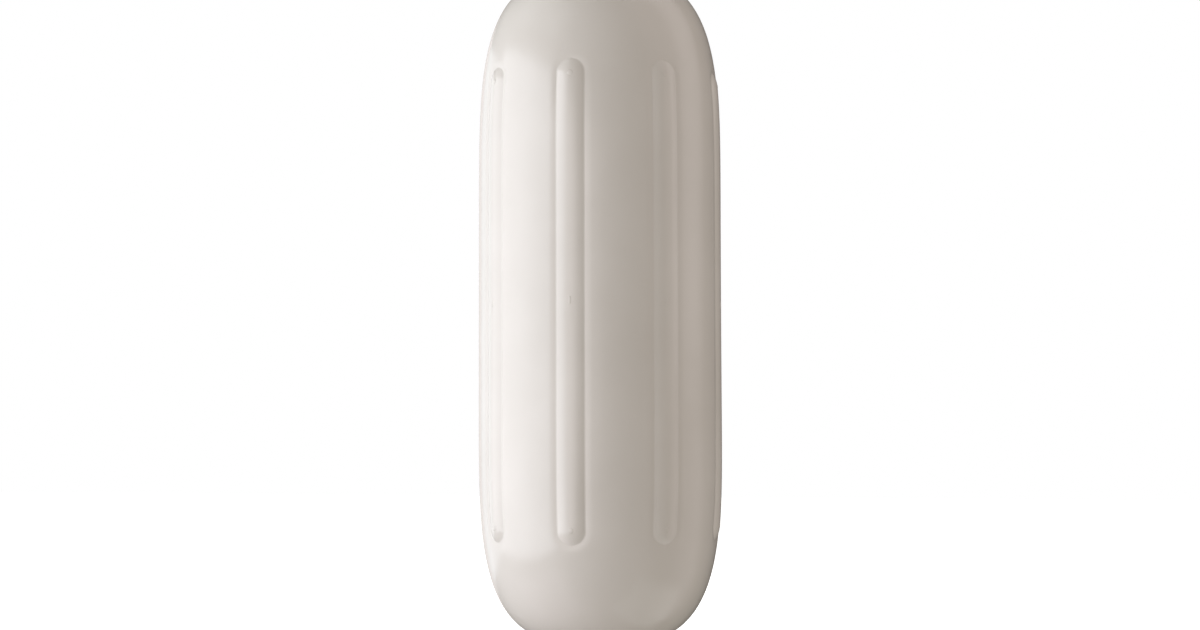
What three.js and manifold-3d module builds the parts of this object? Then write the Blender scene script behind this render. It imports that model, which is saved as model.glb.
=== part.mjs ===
import * as THREE from "three";
import { mergeVertices } from "three/addons/utils/BufferGeometryUtils.js";
import Module from "manifold-3d";

// Inflatable boat fender, in millimetres.
// Z runs along the fender, its middle is the origin, and both rope holes run along Y.

// The skin: a short straight barrel and two blunt domes, with an eye standing out from each crown.
const overallLength = 559;
const bodyDiameter = 165;
const eyeReach = 51;
const domeLength = 181.5;
const domeSpread = 4.51;
const domeFullness = 3.11;

// Raised ribs with round ends, each in a shallow valley. They stand a little taller towards their ends.
const ribCount = 8;
const firstRibAngle = -90;
const ribInset = 71;
const ribWidth = 19;
const ribHeight = 1.2;
const ribEndHeight = 1.7;
const valleyWidth = 5.2;
const valleyDepth = 0.4;

// Moulded rope eyes, on necks that flow out of the domes.
const neckDiameter = 42;
const neckFlare = 20;
const neckRise = 11.5;
const eyeWidth = 50;
const eyeThickness = 24;
const eyeEdgeRadius = 8;
const ropeHoleDiameter = 18;
const ropeHoleMouth = 3.5;
const ropeHoleOvershoot = 4;

// Needle valve on a pad of the upper dome.
const valveAngle = 90;
const valveOffset = 55;
const padDiameter = 22;
const padRise = 2;
const padSkirt = 4;
const padEdge = 0.6;
const padRoot = 12;
const valveFlangeDiameter = 15;
const valveFlangeThickness = 1.6;
const valveFlangeEdge = 0.4;
const valveStemDiameter = 9;
const valveStemLength = 10;
const valveBarbDiameter = 11;
const valveBarbLength = 4;
const valveBarbTaper = 2.8;
const valveFootInset = 1;
const needleHoleDiameter = 2.4;
const needleHoleDepth = 8;
const needleSink = 1;
const valveClearance = 0.3;
const portOvershoot = 2;

// Facets across a rib, between two valleys, round a plain ring, round a rope hole and round the valve.
// A valley has two facets, which meet at its knee.
const beadSteps = 6;
const valleyKnee = 0.4;
const openSteps = 3;
const plainSteps = 40;
const holeSteps = 28;
const valveSteps = 24;

// Rings along the skin: where they stand on the straight ribs, then how many each part has.
const ribRingShares = [0.4, 0.64, 0.8, 0.92];
const capSteps = 4;
const domeSteps = 7;
const neckSteps = 6;
const neckCrowding = 1.6;
const eyeSteps = 4;
const rimSteps = 7;
const mouthSteps = 4;

const bodyRadius = bodyDiameter / 2;
const crownSpan = overallLength - 2 * eyeReach;
const barrelLength = crownSpan - 2 * domeLength;
const ribLength = crownSpan - 2 * ribInset;
const ribCapStart = (ribLength - ribWidth) / 2;
const valleyEnd = ribLength / 2 + valleyWidth;
const neckRadius = neckDiameter / 2;
const eyeRadius = eyeWidth / 2;
const eyeCentre = overallLength / 2 - eyeRadius;
const waistHeight = crownSpan / 2 + neckRise;

const radians = THREE.MathUtils.degToRad;

// Point of the dome's outline: turn 0 is where it leaves the barrel, turn 90 degrees is its crown.
function domePoint(turn) {
  const radius = bodyRadius * Math.cos(turn) ** (2 / domeFullness);
  const height = barrelLength / 2 + domeLength * Math.sin(turn) ** (2 / domeSpread);
  return new THREE.Vector2(radius, height);
}

function domeTurnAtHeight(height) {
  const share = Math.max(0, (Math.abs(height) - barrelLength / 2) / domeLength);
  return Math.asin(share ** (domeSpread / 2));
}

function domeTurnAtRadius(radius) {
  return Math.acos((radius / bodyRadius) ** (domeFullness / 2));
}

// Direction along the outline towards the crown.
function domeTangent(turn) {
  const step = 1e-4;
  return domePoint(turn + step).sub(domePoint(turn - step)).normalize();
}

// Height above the plain skin at an angle from a rib's centre line. The rib is a low arc between two creases,
// and its valley is deepest at the crease and runs out into the skin.
function ribRise(angle, height) {
  const across = angle * bodyRadius;
  const along = Math.max(0, Math.abs(height) - ribCapStart);
  const reach = Math.hypot(across, along);
  const halfWidth = ribWidth / 2;
  if (reach <= halfWidth) {
    const endShare = Math.min(1, Math.abs(height) / ribCapStart) ** 2;
    const crest = THREE.MathUtils.lerp(ribHeight, ribEndHeight, endShare);
    return (crest + valleyDepth) * (1 - (reach / halfWidth) ** 2) - valleyDepth;
  }
  const outward = Math.min(1, (reach - halfWidth) / valleyWidth);
  return -valleyDepth * (1 - outward) ** 2;
}

// Angles round one rib and the open skin that follows it, from the rib's centre line.
function ribAngles() {
  const edge = ribWidth / 2 / bodyRadius;
  const valley = valleyWidth / bodyRadius;
  const pitch = 2 * Math.PI / ribCount;
  const open = pitch - 2 * (edge + valley);
  const angles = [];
  for (let step = 0; step <= beadSteps; step += 1) {
    angles.push(-edge * Math.cos(Math.PI * step / beadSteps));
  }
  angles.push(edge + valleyKnee * valley);
  for (let step = 0; step <= openSteps; step += 1) {
    angles.push(edge + valley + open * step / openSteps);
  }
  angles.push(pitch - edge - valleyKnee * valley);
  return angles;
}

// One ring of the ribbed part of the skin.
function ribbedRing(height) {
  const skinRadius = domePoint(domeTurnAtHeight(height)).x;
  const pitch = 2 * Math.PI / ribCount;
  const ring = [];
  for (let rib = 0; rib < ribCount; rib += 1) {
    for (const angle of ribAngles()) {
      const nearest = angle > pitch / 2 ? angle - pitch : angle;
      const radius = skinRadius + ribRise(nearest, height);
      const turn = radians(firstRibAngle) + rib * pitch + angle;
      const point = new THREE.Vector3(radius * Math.cos(turn), radius * Math.sin(turn), height);
      ring.push({ turn, point });
    }
  }
  return ring;
}

// One ring with flat sides and round corners. It is a circle where both half widths equal the corner.
function plainRing(halfX, halfY, corner, height) {
  const ring = [];
  for (let step = 0; step < plainSteps; step += 1) {
    const turn = 2 * Math.PI * (step + 0.5) / plainSteps - Math.PI / 2;
    const x = Math.sign(Math.cos(turn)) * (halfX - corner) + corner * Math.cos(turn);
    const y = Math.sign(Math.sin(turn)) * (halfY - corner) + corner * Math.sin(turn);
    ring.push({ turn, point: new THREE.Vector3(x, y, height) });
  }
  return ring;
}

function roundRing(radius, height) {
  return plainRing(radius, radius, radius, height);
}

// Rings of the ribbed part from the middle up to where the valleys end.
function ribbedRings() {
  const rings = ribRingShares.map((share) => ribbedRing(ribCapStart * share));
  for (let step = 0; step <= capSteps; step += 1) {
    const rise = Math.sin(Math.PI / 2 * step / capSteps);
    rings.push(ribbedRing(ribCapStart + ribWidth / 2 * rise));
  }
  rings.push(ribbedRing(ribLength / 2 + valleyKnee * valleyWidth));
  rings.push(ribbedRing(valleyEnd));
  return rings;
}

// Rings from the end of the valleys over the dome to the foot of the neck.
function domeRings() {
  const first = domeTurnAtHeight(valleyEnd);
  const last = domeTurnAtRadius(neckRadius + neckFlare);
  const rings = [];
  for (let step = 1; step <= domeSteps; step += 1) {
    const spot = domePoint(first + (last - first) * step / domeSteps);
    rings.push(roundRing(spot.x, spot.y));
  }
  return rings;
}

// Rings of the neck. It leaves the dome in line with it, and ends upright, as wide and as thick as asked.
function neckRings() {
  const turn = domeTurnAtRadius(neckRadius + neckFlare);
  const foot = domePoint(turn);
  const tangent = domeTangent(turn);
  const rise = waistHeight - foot.y;
  const halfWidth = (end, share) => {
    const power = rise * -tangent.x / tangent.y / (foot.x - end);
    return end + (foot.x - end) * (1 - share) ** power;
  };
  const rings = [];
  for (let step = 1; step <= neckSteps; step += 1) {
    const share = (step / neckSteps) ** neckCrowding;
    const halfX = halfWidth(neckRadius, share);
    const halfY = halfWidth(eyeThickness / 2, share);
    const corner = THREE.MathUtils.lerp(Math.min(halfX, halfY), eyeEdgeRadius, share);
    rings.push(plainRing(halfX, halfY, corner, foot.y + rise * share));
  }
  return rings;
}

// Rings of the flat eye, which widens from the neck and has a half round rim.
function eyeRings() {
  const halfThickness = eyeThickness / 2;
  const rings = [];
  for (let step = 1; step <= eyeSteps; step += 1) {
    const share = step / eyeSteps;
    const halfX = THREE.MathUtils.lerp(neckRadius, eyeRadius, THREE.MathUtils.smoothstep(share, 0, 1));
    const height = THREE.MathUtils.lerp(waistHeight, eyeCentre, share);
    rings.push(plainRing(halfX, halfThickness, eyeEdgeRadius, height));
  }
  for (let step = 1; step < rimSteps; step += 1) {
    const turn = Math.PI / 2 * step / rimSteps;
    const halfX = eyeRadius * Math.cos(turn);
    const rise = eyeRadius * Math.sin(turn);
    const intoEdge = Math.max(0, rise - (eyeRadius - eyeEdgeRadius));
    const halfY = halfThickness - eyeEdgeRadius + Math.sqrt(eyeEdgeRadius ** 2 - intoEdge ** 2);
    rings.push(plainRing(halfX, halfY, Math.min(eyeEdgeRadius, halfX, halfY), eyeCentre + rise));
  }
  return rings;
}

// Triangles between two rings, taken in order of their turn about Z.
function bridge(lower, upper, emit) {
  const fullTurn = 2 * Math.PI;
  const turnOf = (ring, index) => ring[index % ring.length].turn + fullTurn * Math.floor(index / ring.length);
  let low = 0;
  let high = 0;
  while (low < lower.length || high < upper.length) {
    const from = lower[low % lower.length].point;
    const to = upper[high % upper.length].point;
    const lowNext = low < lower.length ? turnOf(lower, low + 1) : Infinity;
    const highNext = high < upper.length ? turnOf(upper, high + 1) : Infinity;
    if (lowNext <= highNext) {
      low += 1;
      emit(from, lower[low % lower.length].point, to);
    } else {
      high += 1;
      emit(from, upper[high % upper.length].point, to);
    }
  }
}

// Closed skin over rings from the lowest to the highest, with a point at each end.
function loft(rings, bottom, top) {
  const positions = [];
  const emit = (...corners) => {
    for (const corner of corners) {
      positions.push(corner.x, corner.y, corner.z);
    }
  };
  const first = rings[0];
  const last = rings[rings.length - 1];
  first.forEach(({ point }, index) => emit(bottom, first[(index + 1) % first.length].point, point));
  for (let index = 1; index < rings.length; index += 1) {
    bridge(rings[index - 1], rings[index], emit);
  }
  last.forEach(({ point }, index) => emit(top, point, last[(index + 1) % last.length].point));
  const geometry = new THREE.BufferGeometry();
  geometry.setAttribute("position", new THREE.Float32BufferAttribute(positions, 3));
  return geometry;
}

function mirrored(ring) {
  return ring.map(({ turn, point }) => ({ turn, point: new THREE.Vector3(point.x, point.y, -point.z) }));
}

// The whole outer skin, the lower half being the mirror image of the upper.
function skinGeometry() {
  const upper = [...ribbedRings(), ...domeRings(), ...neckRings(), ...eyeRings()];
  const lower = upper.map(mirrored).reverse();
  const tip = new THREE.Vector3(0, 0, overallLength / 2);
  return loft([...lower, ...upper], tip.clone().negate(), tip);
}

// Spool that cuts a rope hole with rounded mouths through an eye.
function ropeHoleGeometry() {
  const radius = ropeHoleDiameter / 2;
  const face = eyeThickness / 2;
  const past = face + ropeHoleOvershoot;
  const outline = [new THREE.Vector2(0, past), new THREE.Vector2(radius + ropeHoleMouth, past)];
  for (let step = 0; step <= mouthSteps; step += 1) {
    const turn = Math.PI / 2 * step / mouthSteps;
    const x = radius + ropeHoleMouth * (1 - Math.sin(turn));
    outline.push(new THREE.Vector2(x, face - ropeHoleMouth * (1 - Math.cos(turn))));
  }
  const back = outline.map((spot) => new THREE.Vector2(spot.x, -spot.y)).reverse();
  return new THREE.LatheGeometry([...outline, ...back].reverse(), holeSteps);
}

// Pad moulded on the dome, about Y as its own axis, with its flat top at height 0.
function padGeometry() {
  const radius = padDiameter / 2;
  const outline = [
    new THREE.Vector2(0, -padRise - padRoot),
    new THREE.Vector2(radius + padSkirt, -padRise - padRoot),
    new THREE.Vector2(radius + padSkirt, -padRise - padSkirt),
    new THREE.Vector2(radius, -padEdge),
    new THREE.Vector2(radius - padEdge, 0),
    new THREE.Vector2(0, 0),
  ];
  return new THREE.LatheGeometry(outline, valveSteps);
}

// Valve outline below the pad's top. Grown by a clearance, it gives the port that seats the valve.
function valveOutline(clearance) {
  const flange = valveFlangeDiameter / 2 + clearance;
  const stem = valveStemDiameter / 2 + clearance;
  const barb = valveBarbDiameter / 2 + clearance;
  const underFlange = -valveFlangeThickness - clearance;
  const foot = -valveFlangeThickness - valveStemLength;
  return [
    new THREE.Vector2(0, foot - clearance),
    new THREE.Vector2(stem - valveFootInset, foot - clearance),
    new THREE.Vector2(barb, foot + valveBarbTaper),
    new THREE.Vector2(barb, foot + valveBarbLength + clearance),
    new THREE.Vector2(stem, foot + valveBarbLength + clearance),
    new THREE.Vector2(stem, underFlange),
    new THREE.Vector2(flange, underFlange),
  ];
}

function portGeometry() {
  const flange = valveFlangeDiameter / 2 + valveClearance;
  const mouth = [new THREE.Vector2(flange, portOvershoot), new THREE.Vector2(0, portOvershoot)];
  return new THREE.LatheGeometry([...valveOutline(valveClearance), ...mouth], valveSteps);
}

// The valve, with its blind needle hole open at the top.
function valveGeometry() {
  const flange = valveFlangeDiameter / 2;
  const needle = needleHoleDiameter / 2;
  const face = [
    new THREE.Vector2(flange, -valveFlangeEdge),
    new THREE.Vector2(flange - valveFlangeEdge, 0),
    new THREE.Vector2(needle + needleSink, 0),
    new THREE.Vector2(needle, -needleSink),
    new THREE.Vector2(needle, -needleHoleDepth),
    new THREE.Vector2(0, -needleHoleDepth - needle),
  ];
  return new THREE.LatheGeometry([...valveOutline(0), ...face], valveSteps);
}

// Frame of the valve: its origin is the middle of the pad's top, and its Y points square off the dome.
function makeValveSeat() {
  const turn = domeTurnAtRadius(valveOffset);
  const spot = domePoint(turn);
  const along = domeTangent(turn);
  const round = new THREE.Vector3(0, 0, 1);
  const outward = new THREE.Vector3(along.y, 0, -along.x).applyAxisAngle(round, radians(valveAngle));
  const seat = new THREE.Group();
  seat.quaternion.setFromUnitVectors(new THREE.Vector3(0, 1, 0), outward);
  seat.position.set(spot.x, 0, spot.y).applyAxisAngle(round, radians(valveAngle));
  seat.position.addScaledVector(outward, padRise);
  seat.updateMatrixWorld();
  return seat;
}

const wasm = await Module();
wasm.setup();

// Closed solid from a geometry, without the flat triangles that a revolve leaves on its axis.
function solid(geometry) {
  geometry.deleteAttribute("normal");
  geometry.deleteAttribute("uv");
  const merged = mergeVertices(geometry, 1e-4);
  const triangles = [];
  for (let index = 0; index < merged.index.count; index += 3) {
    const [a, b, c] = [0, 1, 2].map((corner) => merged.index.getX(index + corner));
    if (a !== b && b !== c && c !== a) {
      triangles.push(a, b, c);
    }
  }
  const triVerts = new Uint32Array(triangles);
  const vertProperties = merged.attributes.position.array;
  return new wasm.Manifold(new wasm.Mesh({ numProp: 3, vertProperties, triVerts }));
}

function meshOf(shape, name, material) {
  const { vertProperties, triVerts } = shape.getMesh();
  const geometry = new THREE.BufferGeometry();
  geometry.setAttribute("position", new THREE.BufferAttribute(vertProperties, 3));
  geometry.setIndex(new THREE.BufferAttribute(triVerts, 1));
  const mesh = new THREE.Mesh(geometry, material);
  mesh.name = name;
  return mesh;
}

// One moulding of soft vinyl, full of air and closed to view, so it is modelled solid.
function makeBody(seat) {
  const vinyl = new THREE.MeshStandardMaterial({ color: 0xece7df, roughness: 0.36, metalness: 0 });
  const shape = solid(skinGeometry())
    .add(solid(padGeometry().applyMatrix4(seat.matrixWorld)))
    .subtract(solid(portGeometry().applyMatrix4(seat.matrixWorld)))
    .subtract(solid(ropeHoleGeometry().translate(0, 0, eyeCentre)))
    .subtract(solid(ropeHoleGeometry().translate(0, 0, -eyeCentre)));
  return meshOf(shape, "fender_body", vinyl);
}

// The needle valve, pressed into its port.
function makeValve() {
  const rubber = new THREE.MeshStandardMaterial({ color: 0xbdb8af, roughness: 0.6, metalness: 0 });
  return meshOf(solid(valveGeometry()), "inflation_valve", rubber);
}

const fender = new THREE.Group();
const valveSeat = makeValveSeat();
fender.add(makeBody(valveSeat));
fender.add(valveSeat);
valveSeat.add(makeValve());

export default fender;
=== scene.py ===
import math

import bmesh
import bpy
import numpy as np
from mathutils import Matrix, Vector


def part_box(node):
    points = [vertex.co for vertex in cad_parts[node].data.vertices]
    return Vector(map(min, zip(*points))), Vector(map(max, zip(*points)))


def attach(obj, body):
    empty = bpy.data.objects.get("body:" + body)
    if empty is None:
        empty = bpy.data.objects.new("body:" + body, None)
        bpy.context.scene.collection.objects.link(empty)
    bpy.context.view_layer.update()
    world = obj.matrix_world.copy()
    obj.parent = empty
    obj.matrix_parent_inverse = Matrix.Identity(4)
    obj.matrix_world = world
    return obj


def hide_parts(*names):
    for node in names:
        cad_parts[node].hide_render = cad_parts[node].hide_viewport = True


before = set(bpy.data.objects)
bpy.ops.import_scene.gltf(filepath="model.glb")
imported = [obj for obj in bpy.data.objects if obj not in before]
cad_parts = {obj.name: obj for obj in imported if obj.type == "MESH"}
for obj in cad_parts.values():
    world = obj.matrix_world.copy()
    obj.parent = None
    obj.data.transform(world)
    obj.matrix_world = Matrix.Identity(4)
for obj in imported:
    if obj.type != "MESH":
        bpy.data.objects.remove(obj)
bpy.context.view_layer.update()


# Fender skin. The real one is a single hollow moulding of soft vinyl, about 3 mm thick, blown up
# hard. Its barrel, domes, necks and rope eyes are one surface, made here as rings from one tip to
# the other. The rings' points crowd together over the ribs, so that the ribs get clean edges.
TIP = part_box("fender_body")[1][2]
FRONT = -math.pi / 2
SKIN_RADIUS = 0.0825
EYE_REACH = 0.051
DOME_LENGTH = 0.1815
DOME_SPREAD = 4.51
DOME_FULLNESS = 3.11
CROWN = TIP - EYE_REACH
BARREL_END = CROWN - DOME_LENGTH

RIB_COUNT = 8
RIB_PITCH = 2 * math.pi / RIB_COUNT
RIB_INSET = 0.071
RIB_WIDTH = 0.019
RIB_HEIGHT = 0.0010
RIB_END_HEIGHT = 0.0015
VALLEY_WIDTH = 0.0052
VALLEY_DEPTH = 0.0004
RIB_END = CROWN - RIB_INSET
RIB_CAP = RIB_END - RIB_WIDTH / 2

NECK_RADIUS = 0.021
NECK_FLARE = 0.020
NECK_RISE = 0.0115
EYE_RADIUS = 0.025
EYE_THICKNESS = 0.024
EYE_EDGE = 0.008
WAIST = CROWN + NECK_RISE
EYE_CENTRE = TIP - EYE_RADIUS

RING_POINTS = 160
CORNER_POINTS = 91
BEAD_POINTS = 21
VALLEY_POINTS = 7
OPEN_SKIN_POINTS = 11
BARREL_RINGS = 26
CAP_RINGS = 15
DOME_RINGS = 44
NECK_RINGS = 20
NECK_RING_CROWDING = 1.6
EYE_RINGS = 15
RIM_RINGS = 33


def dome_point(turn):
    """Radius and height on the dome, from its foot at turn 0 to its crown at a quarter turn.
    With both powers at 2 it would be an ellipse, and greater ones make it blunter."""
    radius = SKIN_RADIUS * math.cos(turn) ** (2 / DOME_FULLNESS)
    return radius, BARREL_END + DOME_LENGTH * math.sin(turn) ** (2 / DOME_SPREAD)


def dome_turn_at_height(height):
    share = max(0.0, (height - BARREL_END) / DOME_LENGTH)
    return math.asin(share ** (DOME_SPREAD / 2))


def dome_turn_at_radius(radius):
    return math.acos((radius / SKIN_RADIUS) ** (DOME_FULLNESS / 2))


def dome_direction(turn):
    """Unit vector in radius and height, along the dome towards its crown."""
    step = 1e-4
    ahead = np.array(dome_point(turn + step)) - np.array(dome_point(turn - step))
    return ahead / np.linalg.norm(ahead)


def rib_turns():
    """Turns about Z of one rib, its two valleys and the open skin up to the next rib."""
    edge = RIB_WIDTH / 2 / SKIN_RADIUS
    valley = VALLEY_WIDTH / SKIN_RADIUS
    bead = np.linspace(-edge, edge, BEAD_POINTS)
    first_valley = edge + valley * np.linspace(0, 1, VALLEY_POINTS)[1:]
    open_skin = np.linspace(edge + valley, RIB_PITCH - edge - valley, OPEN_SKIN_POINTS)[1:]
    return np.concatenate([bead, first_valley, open_skin, RIB_PITCH - first_valley[::-1][1:]])


def ribbed_ring(height):
    """The skin's round at one height, with points where the ribs will be raised."""
    radius = dome_point(dome_turn_at_height(abs(height)))[0]
    turns = np.concatenate([rib_turns() + RIB_PITCH * rib for rib in range(RIB_COUNT)]) + FRONT
    level = np.full(turns.size, height)
    return turns, np.stack([radius * np.cos(turns), radius * np.sin(turns), level], axis=1)


def plain_ring(half_x, half_y, corner, height):
    """A rectangle with round corners, its points evenly spaced from the middle of its -Y side."""
    arc = np.linspace(0, math.pi / 2, CORNER_POINTS)
    xs, ys = [0.0], [-half_y]
    for index, (side_x, side_y) in enumerate([(1, -1), (1, 1), (-1, 1), (-1, -1)]):
        turn = arc + (index - 1) * math.pi / 2
        xs.extend(side_x * (half_x - corner) + corner * np.cos(turn))
        ys.extend(side_y * (half_y - corner) + corner * np.sin(turn))
    xs.append(0.0)
    ys.append(-half_y)
    walked = np.concatenate([[0], np.cumsum(np.hypot(np.diff(xs), np.diff(ys)))])
    shares = np.arange(RING_POINTS) / RING_POINTS
    x, y = [np.interp(shares * walked[-1], walked, side) for side in (xs, ys)]
    return shares * 2 * math.pi + FRONT, np.stack([x, y, np.full(RING_POINTS, height)], axis=1)


def ribbed_rings():
    barrel_heights = np.linspace(0, RIB_CAP, BARREL_RINGS)[:-1]
    cap_heights = RIB_CAP + RIB_WIDTH / 2 * np.sin(np.linspace(0, math.pi / 2, CAP_RINGS))
    valley_heights = RIB_END + VALLEY_WIDTH * np.linspace(0, 1, VALLEY_POINTS)[1:]
    return [ribbed_ring(height) for height in [*barrel_heights, *cap_heights, *valley_heights]]


def dome_rings():
    first = dome_turn_at_height(RIB_END + VALLEY_WIDTH)
    last = dome_turn_at_radius(NECK_RADIUS + NECK_FLARE)
    spots = [dome_point(turn) for turn in np.linspace(first, last, DOME_RINGS)[1:]]
    return [plain_ring(radius, radius, radius, height) for radius, height in spots]


def neck_rings():
    """The neck leaves the dome in line with it and ends upright, wide along X, thin along Y."""
    turn = dome_turn_at_radius(NECK_RADIUS + NECK_FLARE)
    foot_radius, foot_height = dome_point(turn)
    along = dome_direction(turn)
    rise = WAIST - foot_height

    def half_width(end, share):
        power = rise * -along[0] / along[1] / (foot_radius - end)
        return end + (foot_radius - end) * (1 - share) ** power

    rings = []
    for share in np.linspace(0, 1, NECK_RINGS)[1:] ** NECK_RING_CROWDING:
        half_x, half_y = half_width(NECK_RADIUS, share), half_width(EYE_THICKNESS / 2, share)
        corner = min(half_x, half_y) * (1 - share) + EYE_EDGE * share
        rings.append(plain_ring(half_x, half_y, corner, foot_height + rise * share))
    return rings


def eye_rings():
    """The eye widens from the neck to its full width, and its half-round rim has soft edges."""
    half_y = EYE_THICKNESS / 2
    rings = []
    for share in np.linspace(0, 1, EYE_RINGS)[1:]:
        half_x = NECK_RADIUS + (EYE_RADIUS - NECK_RADIUS) * share * share * (3 - 2 * share)
        height = WAIST + (EYE_CENTRE - WAIST) * share
        rings.append(plain_ring(half_x, half_y, EYE_EDGE, height))
    for turn in np.linspace(0, math.pi / 2, RIM_RINGS)[1:-1]:
        half_x, rise = EYE_RADIUS * math.cos(turn), EYE_RADIUS * math.sin(turn)
        into_edge = max(0.0, rise - (EYE_RADIUS - EYE_EDGE))
        rim_y = half_y - EYE_EDGE + math.sqrt(EYE_EDGE ** 2 - into_edge ** 2)
        rings.append(plain_ring(half_x, rim_y, min(EYE_EDGE, half_x, rim_y), EYE_CENTRE + rise))
    return rings


def faces_between(low_start, low_turns, high_start, high_turns):
    """Triangles between two rings of points, taken in order of their turn about Z."""
    low_count, high_count = len(low_turns), len(high_turns)
    low_next = np.append(low_turns[1:], low_turns[0] + 2 * math.pi)
    high_next = np.append(high_turns[1:], high_turns[0] + 2 * math.pi)
    faces, low, high = [], 0, 0
    while low < low_count or high < high_count:
        corner_low, corner_high = low_start + low % low_count, high_start + high % high_count
        if high == high_count or (low < low_count and low_next[low] <= high_next[high]):
            low += 1
            faces.append((corner_low, low_start + low % low_count, corner_high))
        else:
            high += 1
            faces.append((corner_low, high_start + high % high_count, corner_high))
    return faces


def add_object(name, data):
    thing = bpy.data.objects.new(name, data)
    bpy.context.scene.collection.objects.link(thing)
    return thing


def make_skin():
    """The whole skin as one closed mesh: the upper half's rings, and the same ones upside down."""
    upper = ribbed_rings() + dome_rings() + neck_rings() + eye_rings()
    lower = [(turns, points * (1, 1, -1)) for turns, points in upper[:0:-1]]
    turns, points = zip(*(lower + upper))
    counts = [len(ring) for ring in turns]
    starts = np.cumsum([0] + counts).tolist()
    bottom, top = starts[-1], starts[-1] + 1
    faces = []
    for ring in range(len(turns) - 1):
        faces += faces_between(starts[ring], turns[ring], starts[ring + 1], turns[ring + 1])
    for step in range(counts[0]):
        faces.append((bottom, (step + 1) % counts[0], step))
    for step in range(counts[-1]):
        faces.append((top, starts[-2] + step, starts[-2] + (step + 1) % counts[-1]))
    corners = np.concatenate([*points, [(0, 0, -TIP)], [(0, 0, TIP)]])
    mesh = bpy.data.meshes.new("fender_skin")
    mesh.from_pydata(corners.tolist(), [], faces)
    return add_object("fender_skin", mesh)


def feed(tree, node, values):
    """Gives a node's first inputs their values, which are numbers or other nodes' results."""
    for socket, value in zip(node.inputs, values):
        if isinstance(value, bpy.types.NodeSocket):
            tree.links.new(value, socket)
        else:
            socket.default_value = value


def maths_in(tree):
    """Gives a function that adds one Math node to the tree and returns its result."""
    def add(operation, *values):
        node = tree.nodes.new("ShaderNodeMath")
        node.operation = operation
        feed(tree, node, values)
        return node.outputs[0]
    return add


def vector(tree, x, y, z):
    node = tree.nodes.new("ShaderNodeCombineXYZ")
    feed(tree, node, (x, y, z))
    return node.outputs[0]


def new_tree(name, lengths):
    """An empty Geometry Nodes tree. In come a skin, if any, numbers for sizes, and the vinyl."""
    tree = bpy.data.node_groups.new(name, "GeometryNodeTree")
    tree.interface.new_socket("Skin", in_out="INPUT", socket_type="NodeSocketGeometry")
    for length in lengths:
        tree.interface.new_socket(length, in_out="INPUT", socket_type="NodeSocketFloat")
    tree.interface.new_socket("Vinyl", in_out="INPUT", socket_type="NodeSocketMaterial")
    tree.interface.new_socket("Skin", in_out="OUTPUT", socket_type="NodeSocketGeometry")
    return tree, tree.nodes.new("NodeGroupInput").outputs


def end_tree(tree, shape, vinyl):
    """Makes the tree's shape real, gives it the vinyl and sends it out."""
    realize = tree.nodes.new("GeometryNodeRealizeInstances")
    tree.links.new(shape, realize.inputs["Geometry"])
    coat = tree.nodes.new("GeometryNodeSetMaterial")
    tree.links.new(realize.outputs["Geometry"], coat.inputs["Geometry"])
    tree.links.new(vinyl, coat.inputs["Material"])
    tree.links.new(coat.outputs["Geometry"], tree.nodes.new("NodeGroupOutput").inputs["Skin"])


def rib_tree():
    """Raises low round-ended ribs, each between creases at the bottom of a shallow valley."""
    tree, given = new_tree("Moulded ribs", [
        "Ribs", "Skin radius", "Rib end", "Rib width", "Middle height", "End height",
        "Valley width", "Valley depth"])
    link, add = tree.links.new, maths_in(tree)
    place = tree.nodes.new("ShaderNodeSeparateXYZ")
    link(tree.nodes.new("GeometryNodeInputPosition").outputs[0], place.inputs[0])
    x, y, z = place.outputs

    half_width = add("MULTIPLY", given["Rib width"], 0.5)
    half_pitch = add("DIVIDE", math.pi, given["Ribs"])
    turn = add("ADD", add("ARCTAN2", y, x), -FRONT)
    off_rib = add("WRAP", turn, half_pitch, add("MULTIPLY", half_pitch, -1))
    across = add("MULTIPLY", off_rib, given["Skin radius"])
    cap = add("SUBTRACT", given["Rib end"], half_width)
    along = add("MAXIMUM", add("SUBTRACT", add("ABSOLUTE", z), cap), 0)
    reach = add("SQRT", add("ADD", add("MULTIPLY", across, across),
                            add("MULTIPLY", along, along)))

    end_share = add("MINIMUM", add("DIVIDE", add("ABSOLUTE", z), cap), 1)
    taller = add("MULTIPLY", add("SUBTRACT", given["End height"], given["Middle height"]),
                 add("MULTIPLY", end_share, end_share))
    relief = add("ADD", add("ADD", given["Middle height"], taller), given["Valley depth"])
    share = add("MINIMUM", add("DIVIDE", reach, half_width), 1)
    bead = add("MULTIPLY", relief, add("SUBTRACT", 1, add("MULTIPLY", share, share)))
    outside = add("DIVIDE", add("SUBTRACT", reach, half_width), given["Valley width"])
    to_skin = add("SUBTRACT", 1, add("MINIMUM", add("MAXIMUM", outside, 0), 1))
    valley = add("MULTIPLY", given["Valley depth"], add("MULTIPLY", to_skin, to_skin))

    outwards = tree.nodes.new("ShaderNodeVectorMath")
    outwards.operation = "NORMALIZE"
    link(vector(tree, x, y, 0), outwards.inputs[0])
    offset = tree.nodes.new("ShaderNodeVectorMath")
    offset.operation = "SCALE"
    link(outwards.outputs["Vector"], offset.inputs[0])
    link(add("SUBTRACT", bead, valley), offset.inputs["Scale"])
    move = tree.nodes.new("GeometryNodeSetPosition")
    link(given["Skin"], move.inputs["Geometry"])
    link(offset.outputs["Vector"], move.inputs["Offset"])
    end_tree(tree, move.outputs["Geometry"], given["Vinyl"])
    return tree


def keep_result(piece):
    """Makes what a piece's modifiers show its own plain mesh, and takes the modifiers off."""
    evaluated = piece.evaluated_get(bpy.context.evaluated_depsgraph_get())
    mesh = bpy.data.meshes.new_from_object(evaluated)
    piece.modifiers.clear()
    raw = piece.data
    piece.data = mesh
    bpy.data.meshes.remove(raw)
    mesh.name = piece.name


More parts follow.
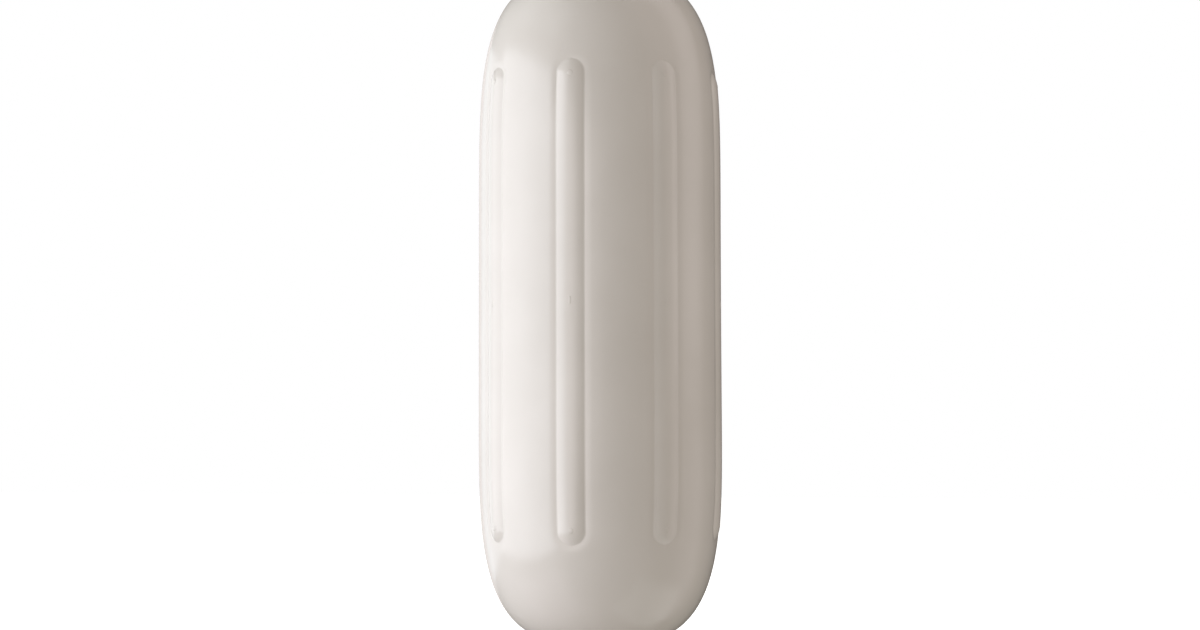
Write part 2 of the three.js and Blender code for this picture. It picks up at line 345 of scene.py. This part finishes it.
def grow(piece, tree, values):
    """Runs a Geometry Nodes tree over a piece, with its inputs set by name."""
    modifier = piece.modifiers.new(tree.name, "NODES")
    modifier.node_group = tree
    for item in tree.interface.items_tree:
        if item.in_out == "INPUT" and item.name in values:
            modifier[item.identifier] = values[item.name]
    keep_result(piece)


def lathe(name, outline, steps, place):
    """A closed turned shape about Z. Its outline of radii and heights has both ends on the axis."""
    shape = bmesh.new()
    turns = np.arange(steps) / steps * 2 * math.pi
    rings = []
    for radius, height in outline:
        if radius == 0:
            rings.append([shape.verts.new((0, 0, height))])
        else:
            rings.append([shape.verts.new((radius * math.cos(t), radius * math.sin(t), height))
                          for t in turns])
    for lower, upper in zip(rings, rings[1:]):
        for step in range(steps):
            ahead = (step + 1) % steps
            if len(lower) == 1:
                shape.faces.new((lower[0], upper[ahead], upper[step]))
            elif len(upper) == 1:
                shape.faces.new((lower[step], lower[ahead], upper[0]))
            else:
                shape.faces.new((lower[step], lower[ahead], upper[ahead], upper[step]))
    bmesh.ops.transform(shape, matrix=place, verts=shape.verts)
    bmesh.ops.recalc_face_normals(shape, faces=shape.faces)
    mesh = bpy.data.meshes.new(name)
    shape.to_mesh(mesh)
    shape.free()
    return add_object(name, mesh)


def join_or_cut(piece, tool, operation):
    """Joins a closed tool shape to a piece, or cuts it away, and throws the tool away."""
    modifier = piece.modifiers.new(operation, "BOOLEAN")
    modifier.operation = operation
    modifier.solver = "EXACT"
    modifier.object = tool
    keep_result(piece)
    bpy.data.meshes.remove(tool.data)


def elliptic_arc(centre, reach, start, end, steps):
    """Points of an ellipse's arc in radius and height, from turn start to turn end in degrees."""
    turns = np.radians(np.linspace(start, end, steps))
    return [(centre[0] + reach[0] * math.cos(t), centre[1] + reach[1] * math.sin(t))
            for t in turns]


ROPE_HOLE_RADIUS = 0.009
ROPE_HOLE_MOUTH = 0.0035
ROPE_HOLE_STEPS = 96
MOUTH_LIFT = 0.00003
PAST_CHEEK = 1.5


def rope_hole(height):
    """The spool that a rope hole's core leaves in an eye. Its mouths stand a hair past the cheeks
    and so meet them at a slight angle, for a clean cut."""
    cheek = EYE_THICKNESS / 2
    wide = ROPE_HOLE_RADIUS + ROPE_HOLE_MOUTH
    mouth_centre = (wide, cheek - ROPE_HOLE_MOUTH + MOUTH_LIFT)
    mouth = elliptic_arc(mouth_centre, (ROPE_HOLE_MOUTH, ROPE_HOLE_MOUTH), 180, 90, steps=13)
    outer = [*mouth, (wide, cheek * PAST_CHEEK), (0, cheek * PAST_CHEEK)]
    inner = [(radius, -offset) for radius, offset in reversed(outer)]
    turn = Matrix.Translation((0, 0, height)) @ Matrix.Rotation(math.pi / 2, 4, "X")
    return lathe("rope_hole", inner + outer, ROPE_HOLE_STEPS, turn)


VALVE_TURN = math.radians(90)
VALVE_OFFSET = 0.055
PAD_RADIUS = 0.011
PAD_RISE = 0.002
PAD_EDGE = 0.0006
PAD_SKIRT = 0.004
PAD_FILLET = 0.0034
PAD_ROOT = 3 * PAD_SKIRT
PAD_STEPS = 128


def valve_seat():
    """Where the valve sits: the middle of its pad's top, with Z pointing square off the dome."""
    turn = dome_turn_at_radius(VALVE_OFFSET)
    radius, height = dome_point(turn)
    along = dome_direction(turn)
    outward = Vector((along[1], 0, -along[0]))
    top = Vector((radius, 0, height)) + outward * PAD_RISE
    place = Matrix.Translation(top) @ outward.to_track_quat("Z", "Y").to_matrix().to_4x4()
    return Matrix.Rotation(VALVE_TURN, 4, "Z") @ place


def valve_pad():
    """A low round pad with a soft edge and a flared foot, rooted inside the dome."""
    foot_radius = PAD_RADIUS + PAD_SKIRT
    edge = elliptic_arc((PAD_RADIUS - PAD_EDGE, -PAD_EDGE), (PAD_EDGE, PAD_EDGE), 0, 90, steps=9)
    flank = elliptic_arc((foot_radius, -PAD_EDGE), (PAD_SKIRT, PAD_FILLET), 270, 180, steps=17)
    root = -PAD_RISE - PAD_ROOT
    outline = [(0, root), (foot_radius, root), *flank, *edge[1:], (0, 0)]
    return lathe("valve_pad", outline, PAD_STEPS, valve_seat())


FLANGE_RADIUS = 0.0075
FLANGE_THICKNESS = 0.0016
STEM_RADIUS = 0.0045
STEM_LENGTH = 0.010
BARB_RADIUS = 0.0055
BARB_LENGTH = 0.004
BARB_SLOPE = 0.7
VALVE_CLEARANCE = 0.0003
VALVE_STEPS = 96


def valve_side(clearance):
    """The valve's outline from its foot up to the underside of its flange, grown by a clearance."""
    stem, barb = STEM_RADIUS + clearance, BARB_RADIUS + clearance
    foot = -FLANGE_THICKNESS - STEM_LENGTH
    shelf = foot + BARB_LENGTH + clearance
    under = -FLANGE_THICKNESS - clearance
    return [(0, foot - clearance), (stem - BARB_LENGTH / 4, foot - clearance),
            (barb, foot + BARB_SLOPE * BARB_LENGTH), (barb, shelf), (stem, shelf), (stem, under),
            (FLANGE_RADIUS + clearance, under)]


def valve_port():
    mouth = [(FLANGE_RADIUS + VALVE_CLEARANCE, PAD_RISE), (0, PAD_RISE)]
    return lathe("valve_port", valve_side(VALVE_CLEARANCE) + mouth, VALVE_STEPS, valve_seat())


def new_material(name):
    """A new material: itself, its tree, its shader and the piece's own coordinates."""
    material = bpy.data.materials.new(name)
    material.use_nodes = True
    tree = material.node_tree
    place = tree.nodes.new("ShaderNodeTexCoord").outputs["Object"]
    return material, tree, tree.nodes["Principled BSDF"], place


def noise(tree, place, scale, detail):
    node = tree.nodes.new("ShaderNodeTexNoise")
    node.inputs["Scale"].default_value = scale
    node.inputs["Detail"].default_value = detail
    tree.links.new(place, node.inputs["Vector"])
    return node.outputs["Fac"]


def remap(tree, value, was, becomes, interpolation="LINEAR"):
    """Moves a value from one range to another, and holds it at their ends."""
    node = tree.nodes.new("ShaderNodeMapRange")
    node.interpolation_type = interpolation
    node.inputs["From Min"].default_value, node.inputs["From Max"].default_value = was
    node.inputs["To Min"].default_value, node.inputs["To Max"].default_value = becomes
    tree.links.new(value, node.inputs["Value"])
    return node.outputs["Result"]


def bump(tree, height, depth, normal=None):
    """The surface's normal with a bump of this depth in metres, on top of any bump before it."""
    node = tree.nodes.new("ShaderNodeBump")
    node.inputs["Distance"].default_value = depth
    tree.links.new(height, node.inputs["Height"])
    if normal:
        tree.links.new(normal, node.inputs["Normal"])
    return node.outputs["Normal"]


VINYL_IOR = 1.53
VINYL_DEEP = (0.800, 0.765, 0.712, 1)
VINYL_PALE = (0.835, 0.800, 0.748, 1)
VINYL_ROUGHNESS = (0.13, 0.19)
NOISE_MIDDLE = (0.3, 0.7)
CLOUD_SCALE = 18
SMEAR_SCALE = 60
WAVE_SCALE, WAVE_DEPTH = 28, 0.0005
PEEL_SCALE, PEEL_DEPTH = 900, 0.00002
SEAM_HALF_WIDTH, SEAM_DEPTH = 0.0004, 0.00006


def vinyl_material():
    """Satin white vinyl, faintly cloudy and smeared, and a little wavy as a blown-up skin is,
    with a fine peel and a parting line along its two sides."""
    vinyl, tree, shader, place = new_material("satin_white_vinyl")
    link, add = tree.links.new, maths_in(tree)
    shader.inputs["IOR"].default_value = VINYL_IOR

    cloud = tree.nodes.new("ShaderNodeMix")
    cloud.data_type = "RGBA"
    cloudiness = noise(tree, place, CLOUD_SCALE, detail=4)
    link(remap(tree, cloudiness, NOISE_MIDDLE, (0, 1)), cloud.inputs["Factor"])
    cloud.inputs["A"].default_value = VINYL_DEEP
    cloud.inputs["B"].default_value = VINYL_PALE
    link(cloud.outputs["Result"], shader.inputs["Base Color"])
    smears = noise(tree, place, SMEAR_SCALE, detail=5)
    link(remap(tree, smears, NOISE_MIDDLE, VINYL_ROUGHNESS), shader.inputs["Roughness"])

    parts = tree.nodes.new("ShaderNodeSeparateXYZ")
    link(place, parts.inputs[0])
    off_seam = add("DIVIDE", add("ABSOLUTE", parts.outputs["Y"]), SEAM_HALF_WIDTH)
    seam = add("SUBTRACT", 1, add("MINIMUM", off_seam, 1))
    wavy = bump(tree, noise(tree, place, WAVE_SCALE, detail=1), WAVE_DEPTH)
    peeled = bump(tree, noise(tree, place, PEEL_SCALE, detail=3), PEEL_DEPTH, wavy)
    link(bump(tree, seam, SEAM_DEPTH, peeled), shader.inputs["Normal"])
    return vinyl


CREASE_ANGLE = math.radians(40)

satin_white_vinyl = vinyl_material()
fender_skin = make_skin()
grow(fender_skin, rib_tree(), {
    "Ribs": RIB_COUNT, "Skin radius": SKIN_RADIUS, "Rib end": RIB_END, "Rib width": RIB_WIDTH,
    "Middle height": RIB_HEIGHT, "End height": RIB_END_HEIGHT,
    "Valley width": VALLEY_WIDTH, "Valley depth": VALLEY_DEPTH,
    "Vinyl": satin_white_vinyl})
join_or_cut(fender_skin, rope_hole(EYE_CENTRE), "DIFFERENCE")
join_or_cut(fender_skin, rope_hole(-EYE_CENTRE), "DIFFERENCE")
join_or_cut(fender_skin, valve_pad(), "UNION")
join_or_cut(fender_skin, valve_port(), "DIFFERENCE")
fender_skin.data.materials.clear()
fender_skin.data.materials.append(satin_white_vinyl)
fender_skin.data.shade_smooth()
fender_skin.data.set_sharp_from_angle(angle=CREASE_ANGLE)
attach(fender_skin, "root")
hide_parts("fender_body")


# Rib marks. Faint marks show on the ribs in view, taken here for raised ones that the mould leaves
# on every rib: an upright stroke in its middle and a round one at the centre of each end. They are
# moulded with the skin, and stand only 0.2 mm proud of it.
MARKS_PER_RIB = 3
RIB_MARK_RISE = 0.0002
STROKE_WIDTH = 0.0010
STROKE_LENGTH = 0.0026
ROUND_SIZE = 0.0018
LENS_SEGMENTS = 24
LENS_RINGS = 12


def mark_tree():
    """Sets marks along the crest of each rib: a round one near each end, a stroke between them."""
    tree, given = new_tree("Rib marks", [
        "Ribs", "Crest radius", "End radius", "End height", "End tilt",
        "Stroke width", "Stroke length", "Round size", "Mark height"])
    link, add = tree.links.new, maths_in(tree)
    index = tree.nodes.new("GeometryNodeInputIndex").outputs[0]
    side = add("SUBTRACT", add("MODULO", index, MARKS_PER_RIB), 1)
    is_end = add("ABSOLUTE", side)
    rib = add("FLOOR", add("DIVIDE", index, MARKS_PER_RIB))
    turn = add("MULTIPLY_ADD", rib, add("DIVIDE", 2 * math.pi, given["Ribs"]), FRONT)
    tilt = add("MULTIPLY", side, given["End tilt"])

    def middle_or_end(middle, end):
        return add("MULTIPLY_ADD", is_end, add("SUBTRACT", end, middle), middle)

    radius = middle_or_end(given["Crest radius"], given["End radius"])
    points = tree.nodes.new("GeometryNodePoints")
    link(add("MULTIPLY", given["Ribs"], MARKS_PER_RIB), points.inputs["Count"])
    spot = vector(tree, add("MULTIPLY", radius, add("COSINE", turn)),
                  add("MULTIPLY", radius, add("SINE", turn)),
                  add("MULTIPLY", side, given["End height"]))
    link(spot, points.inputs["Position"])
    lens = tree.nodes.new("GeometryNodeMeshUVSphere")
    lens.inputs["Segments"].default_value = LENS_SEGMENTS
    lens.inputs["Rings"].default_value = LENS_RINGS
    facing = tree.nodes.new("FunctionNodeEulerToRotation")
    link(vector(tree, 0, add("SUBTRACT", math.pi / 2, tilt), turn), facing.inputs["Euler"])
    half_sizes = vector(tree, middle_or_end(given["Stroke length"], given["Round size"]),
                        middle_or_end(given["Stroke width"], given["Round size"]),
                        given["Mark height"])
    place = tree.nodes.new("GeometryNodeInstanceOnPoints")
    link(points.outputs[0], place.inputs["Points"])
    link(lens.outputs["Mesh"], place.inputs["Instance"])
    link(facing.outputs[0], place.inputs["Rotation"])
    link(half_sizes, place.inputs["Scale"])
    end_tree(tree, place.outputs["Instances"], given["Vinyl"])
    return tree


def make_marks():
    end_radius = dome_point(dome_turn_at_height(RIB_CAP))[0] + RIB_END_HEIGHT
    end_direction = dome_direction(dome_turn_at_height(RIB_CAP))
    marks = add_object("rib_marks", bpy.data.meshes.new("rib_marks"))
    grow(marks, mark_tree(), {
        "Ribs": RIB_COUNT, "Crest radius": SKIN_RADIUS + RIB_HEIGHT, "End radius": end_radius,
        "End height": RIB_CAP, "End tilt": math.atan2(-end_direction[0], end_direction[1]),
        "Stroke width": STROKE_WIDTH, "Stroke length": STROKE_LENGTH, "Round size": ROUND_SIZE,
        "Mark height": RIB_MARK_RISE, "Vinyl": satin_white_vinyl})
    return marks


rib_marks = make_marks()
rib_marks.data.shade_smooth()
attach(rib_marks, "root")


# Inflation valve. A plug of grey rubber with a flange, pressed into its port in the pad on the
# upper dome. A barb holds it there, and an air needle goes in through the small hole in its face.
NEEDLE_RADIUS = 0.0012
NEEDLE_DEPTH = 0.008
SINK_RADIUS = NEEDLE_RADIUS * 2
FLANGE_EDGE = 0.0004
RING_RADIUS = 0.0046
RING_DEPTH = 0.0003
RING_HALF_WIDTH = RING_DEPTH * 1.5


def make_valve():
    """The plug, with a rounded flange, a fine ring round its face and a countersunk hole."""
    edge = elliptic_arc((FLANGE_RADIUS - FLANGE_EDGE, -FLANGE_EDGE), (FLANGE_EDGE, FLANGE_EDGE),
                        0, 90, steps=7)
    ring = elliptic_arc((RING_RADIUS, 0), (RING_HALF_WIDTH, RING_DEPTH), 0, -180, steps=9)
    sink = elliptic_arc((SINK_RADIUS, -NEEDLE_RADIUS), (NEEDLE_RADIUS, NEEDLE_RADIUS),
                        90, 180, steps=9)
    hole = [(NEEDLE_RADIUS, -NEEDLE_DEPTH), (0, -NEEDLE_DEPTH - NEEDLE_RADIUS)]
    outline = valve_side(0) + edge + ring + sink + hole
    return lathe("needle_valve", outline, VALVE_STEPS, valve_seat())


RUBBER_DARK = (0.40, 0.37, 0.33, 1)
RUBBER_DUSTY = (0.62, 0.59, 0.53, 1)
RUBBER_ROUGHNESS = (0.5, 0.75)
BLOOM_SCALE = 350
GRAIN_SCALE, GRAIN_DEPTH = 2500, 0.00003


def rubber_material():
    """Matt warm-grey rubber with a dusty bloom and a fine moulded grain."""
    rubber, tree, shader, place = new_material("grey_valve_rubber")
    link = tree.links.new
    bloom = noise(tree, place, BLOOM_SCALE, detail=4)
    tint = tree.nodes.new("ShaderNodeValToRGB")
    tint.color_ramp.elements[0].color = RUBBER_DARK
    tint.color_ramp.elements[1].color = RUBBER_DUSTY
    link(bloom, tint.inputs["Fac"])
    link(tint.outputs["Color"], shader.inputs["Base Color"])
    link(remap(tree, bloom, (0, 1), RUBBER_ROUGHNESS), shader.inputs["Roughness"])
    grain = noise(tree, place, GRAIN_SCALE, detail=2)
    link(bump(tree, grain, GRAIN_DEPTH), shader.inputs["Normal"])
    return rubber


needle_valve = make_valve()
needle_valve.data.materials.append(rubber_material())
needle_valve.data.shade_smooth()
needle_valve.data.set_sharp_from_angle(angle=CREASE_ANGLE)
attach(needle_valve, "root")
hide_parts("inflation_valve")


# Studio floor. A white sheet just below the lower eye, with a painted glow that is dim near the
# fender and full far out, bright enough there to meet the white background. It takes the fender's
# soft shadow but sends no light back to it.
FLOOR_DROP = 0.0055
FLOOR_SIZE = 8.0
PAPER_WHITE = (0.85, 0.85, 0.85, 1)
PAPER_ROUGHNESS = 0.9
PAPER_SHINE = 0.1
GLOW_BETWEEN = (0.35, 0.75)
GLOW_STRENGTH = (0.30, 1.0)


def make_floor():
    level, half = -TIP - FLOOR_DROP, FLOOR_SIZE / 2
    corners = [(-half, -half, level), (half, -half, level), (half, half, level),
               (-half, half, level)]
    mesh = bpy.data.meshes.new("studio_floor")
    mesh.from_pydata(corners, [], [(0, 1, 2, 3)])
    floor = add_object("studio_floor", mesh)
    paper, tree, shader, place = new_material("glowing_white_paper")
    shader.inputs["Base Color"].default_value = PAPER_WHITE
    shader.inputs["Roughness"].default_value = PAPER_ROUGHNESS
    shader.inputs["Specular IOR Level"].default_value = PAPER_SHINE
    # Painted glow: the sheet gives off its own light, weak near the fender and full far out.
    shader.inputs["Emission Color"].default_value = (1, 1, 1, 1)
    far = tree.nodes.new("ShaderNodeVectorMath")
    far.operation = "LENGTH"
    tree.links.new(place, far.inputs[0])
    glow = remap(tree, far.outputs["Value"], GLOW_BETWEEN, GLOW_STRENGTH, "SMOOTHSTEP")
    tree.links.new(glow, shader.inputs["Emission Strength"])
    floor.data.materials.append(paper)
    floor.visible_diffuse = False
    floor.visible_glossy = False
    floor.visible_shadow = False
    return floor


make_floor()


# Studio light. A large, slightly cool panel stands to the left and a soft one in front. Weaker ones
# fill in from the right, from behind, from above and from below. The surroundings are dim, darkest
# to the right behind the fender, and only the camera sees them as a white background.
CAMERA_TURN = math.radians(-76.5)
CAMERA_RISE = math.radians(-3.15)
DARK_SIDE_TURN = math.radians(155)
DARK_SIDE_EDGE = (0.78, 0.97)
SKY_STRENGTH = (0.21, 0.0)
SKY_COLOUR = (1.0, 0.91, 0.76, 1)


def towards(turn, rise):
    """Unit vector at a turn to the right of the camera's own direction and a rise above level."""
    around = CAMERA_TURN + turn
    return Vector((math.cos(rise) * math.cos(around), math.cos(rise) * math.sin(around),
                   math.sin(rise)))


def panel(name, turn, rise, distance, size, radiance, fade=((0, 1), (1, 1)), lean=0):
    """A soft panel facing the fender. Its turn, rise and lean are in degrees, and its fade is a
    list of places across it, from 0 to 1, with its strength at each."""
    lamp = bpy.data.lights.new(name, "AREA")
    lamp.shape = "RECTANGLE"
    lamp.size, lamp.size_y = size
    strongest = max(radiance)
    lamp.color = [part / strongest for part in radiance]
    lamp.energy = math.pi * size[0] * size[1] * strongest
    lamp.use_nodes = True
    nodes, link = lamp.node_tree.nodes, lamp.node_tree.links.new
    across = nodes.new("ShaderNodeSeparateXYZ")
    link(nodes.new("ShaderNodeTexCoord").outputs["UV"], across.inputs[0])
    curve = nodes.new("ShaderNodeValToRGB")
    for position, _ in fade[1:-1]:
        curve.color_ramp.elements.new(position)
    for element, (position, strength) in zip(curve.color_ramp.elements, fade):
        element.position = position
        element.color = (strength, strength, strength, 1)
    link(across.outputs["X"], curve.inputs["Fac"])
    link(curve.outputs["Color"], nodes["Emission"].inputs["Strength"])
    light = add_object(name, lamp)
    away = towards(math.radians(turn), math.radians(rise))
    upright = away.to_track_quat("Z", "Y").to_matrix()
    light.location = away * distance
    light.rotation_euler = (upright @ Matrix.Rotation(math.radians(lean), 3, "Z")).to_euler()
    light.visible_camera = False


panel("left_panel", -76, 2, 1.5, (2.3, 1.42), (2.51, 2.60, 2.79), lean=-4,
      fade=((0, 0.66), (0.17, 0.72), (0.33, 0.84), (0.5, 1), (0.67, 0.95), (0.83, 0.88), (1, 0.36)))
panel("front_panel", -18, -2, 1.8, (1.55, 1.15), (1.72, 1.60, 1.62),
      fade=((0, 0.30), (0.33, 1), (0.67, 0.57), (1, 0)))
panel("side_panel", -131, 1.5, 1.6, (1.0, 1.2), (0.82, 0.89, 0.96))
panel("rear_panel", -163, 1.5, 1.6, (0.75, 1.2), (0.56, 0.52, 0.54))
panel("high_rear_panel", 180, 55, 1.4, (1.2, 0.8), (1.90, 2.00, 2.06))
panel("high_left_panel", -76, 50, 1.5, (1.5, 0.6), (0.35, 0.37, 0.37))
panel("high_right_panel", 85, 33, 1.5, (1.8, 2.0), (1.18, 1.08, 1.09),
      fade=((0, 0.18), (0.2, 0.42), (0.4, 0.48), (0.6, 1), (0.8, 0.71), (1, 0.11)))
panel("low_right_panel", 85, -30, 1.5, (1.8, 1.6), (0.57, 0.51, 0.53),
      fade=((0, 0), (0.25, 0), (0.5, 0.62), (0.75, 1), (1, 0)))
panel("under_left_panel", -70, -50, 1.3, (1.2, 0.8), (0.32, 0.26, 0.31))
panel("under_right_panel", 70, -55, 1.3, (1.2, 0.8), (0.58, 0.60, 0.58))

world = bpy.data.worlds.new("white_studio")
world.use_nodes = True
bpy.context.scene.world = world
world_nodes, world_link = world.node_tree.nodes, world.node_tree.links.new
sky = world_nodes["Background"]
sky.inputs["Color"].default_value = SKY_COLOUR
dark_side = world_nodes.new("ShaderNodeVectorMath")
dark_side.operation = "DOT_PRODUCT"
dark_side.inputs[1].default_value = towards(DARK_SIDE_TURN, 0)
world_link(world_nodes.new("ShaderNodeTexCoord").outputs["Generated"], dark_side.inputs[0])
dimming = remap(world.node_tree, dark_side.outputs["Value"], DARK_SIDE_EDGE, SKY_STRENGTH)
world_link(dimming, sky.inputs["Strength"])
white = world_nodes.new("ShaderNodeBackground")
white.inputs["Color"].default_value = (1, 1, 1, 1)
choice = world_nodes.new("ShaderNodeMixShader")
is_camera = world_nodes.new("ShaderNodeLightPath").outputs["Is Camera Ray"]
feed(world.node_tree, choice, (is_camera, sky.outputs[0], white.outputs[0]))
world_link(choice.outputs[0], world_nodes["World Output"].inputs["Surface"])


# Camera. It stands a little to the right of the front rib and just below the fender's middle,
# looking up at it, and is rolled by a hair because the fender leans a little in the photograph.
CAMERA_DISTANCE = 1.3946
CAMERA_LENS = 61.3
CAMERA_SENSOR = 36
CAMERA_ROLL = math.radians(-0.13)
CAMERA_SHIFT = (0.0001, -0.00688)

lens = bpy.data.cameras.new("camera")
lens.lens = CAMERA_LENS
lens.sensor_width = CAMERA_SENSOR
lens.shift_x, lens.shift_y = CAMERA_SHIFT
camera = add_object("camera", lens)
camera.location = towards(0, CAMERA_RISE) * CAMERA_DISTANCE
unrolled = camera.location.to_track_quat("Z", "Y").to_matrix()
camera.rotation_euler = (unrolled @ Matrix.Rotation(CAMERA_ROLL, 3, "Z")).to_euler()
bpy.context.scene.camera = camera
bpy.context.scene.view_settings.view_transform = "Standard"
